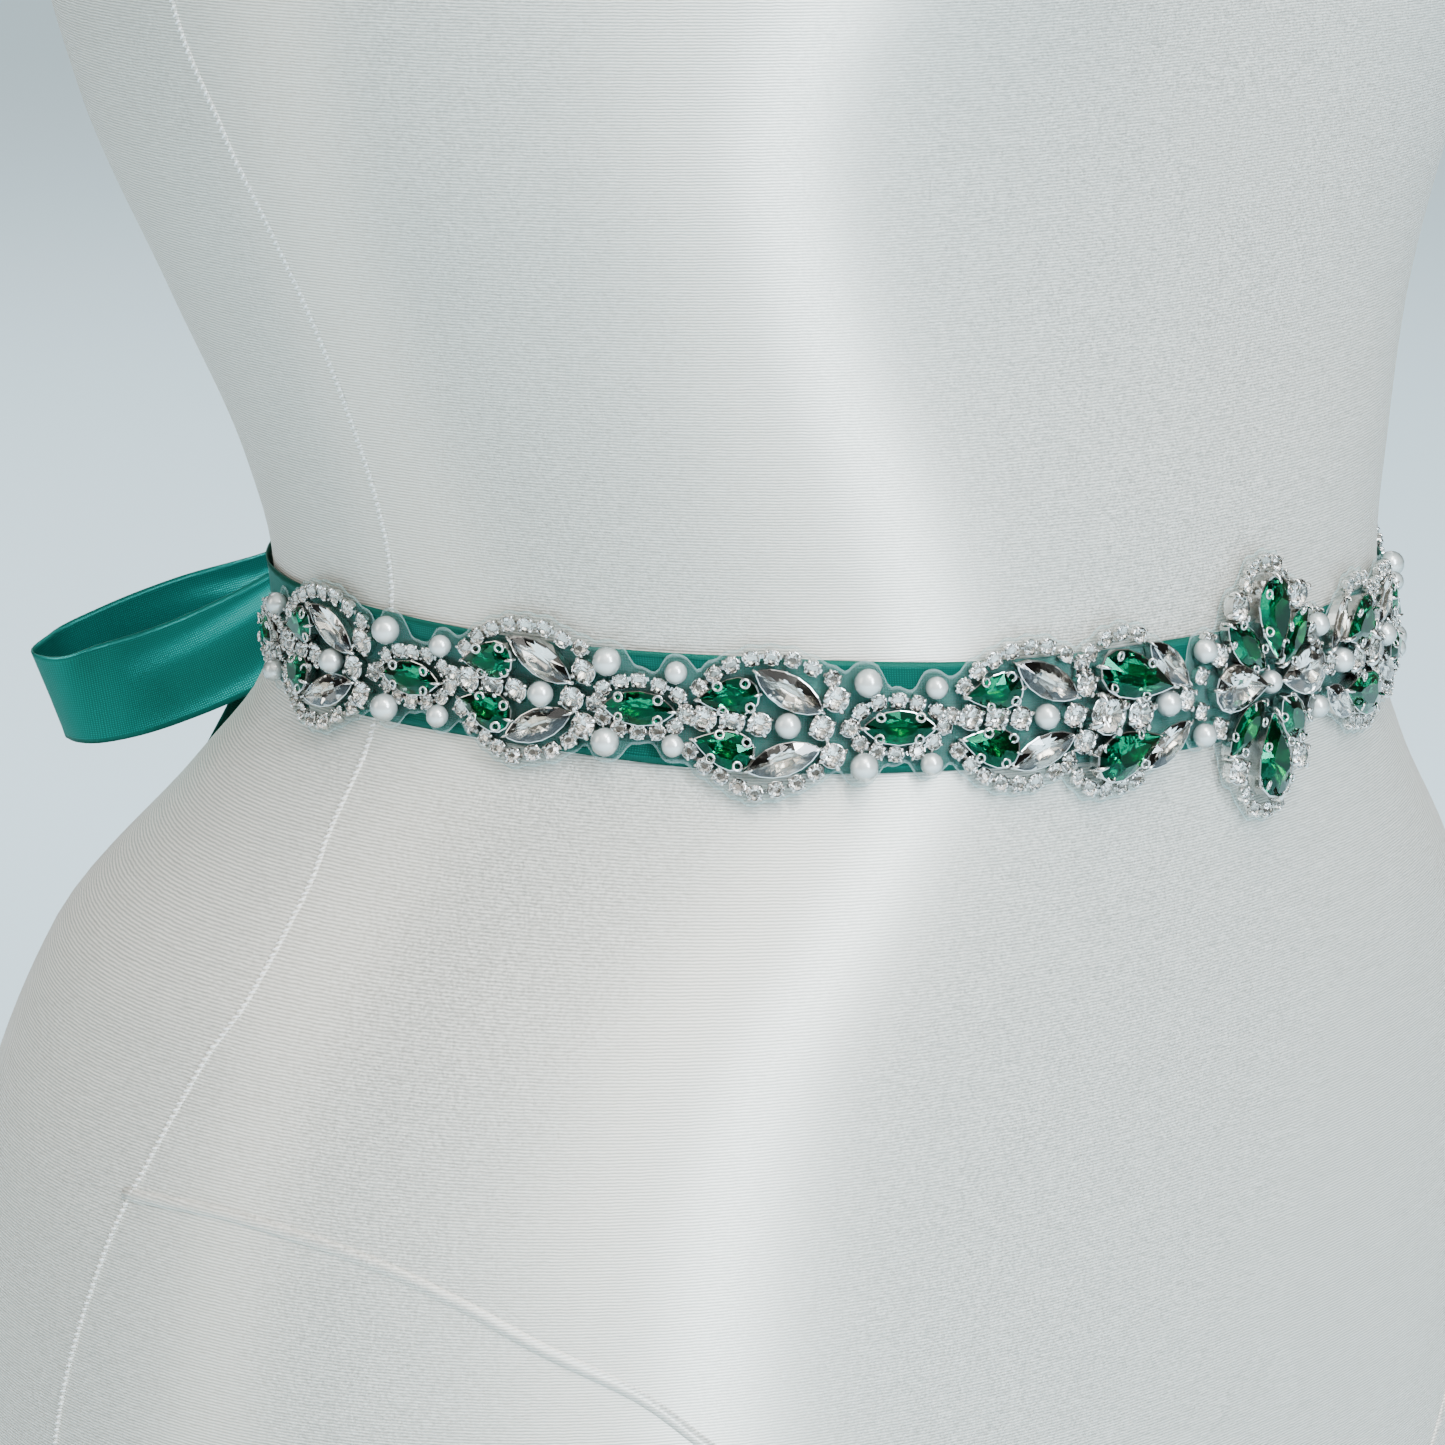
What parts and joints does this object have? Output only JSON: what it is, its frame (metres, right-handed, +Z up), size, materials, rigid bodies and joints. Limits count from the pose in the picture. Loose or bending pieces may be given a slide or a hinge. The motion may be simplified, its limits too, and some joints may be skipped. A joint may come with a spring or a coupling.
{
  "type": "bridal sash on a dress form",
  "caption": "Narrow satin ribbon sash with a raised crystal and pearl applique, tied in a bow at the back of a plain limbless dress form.",
  "frame": {"origin": "centre of the dress form's flat base, which the part stands on", "axes": "+Z up the form, -Y the way its front faces, +X to its left"},
  "size_m": [0.336, 0.2608, 0.7485],
  "materials": {
    "form_cover": "white jersey cover with a soft sheen",
    "satin_ribbon": "emerald satin ribbon with woven edges",
    "crystal_applique": "clear and green glass stones in silver cups and white pearls on a sheer backing"
  },
  "bodies": {
    "root": {"dress_form": "form_cover", "ribbon_band": "satin_ribbon", "applique": "crystal_applique", "knot_wrap": "satin_ribbon", "bow_loop_right": "satin_ribbon", "bow_loop_left": "satin_ribbon", "tail_right": "satin_ribbon", "tail_left": "satin_ribbon"}
  },
  "joints": []
}
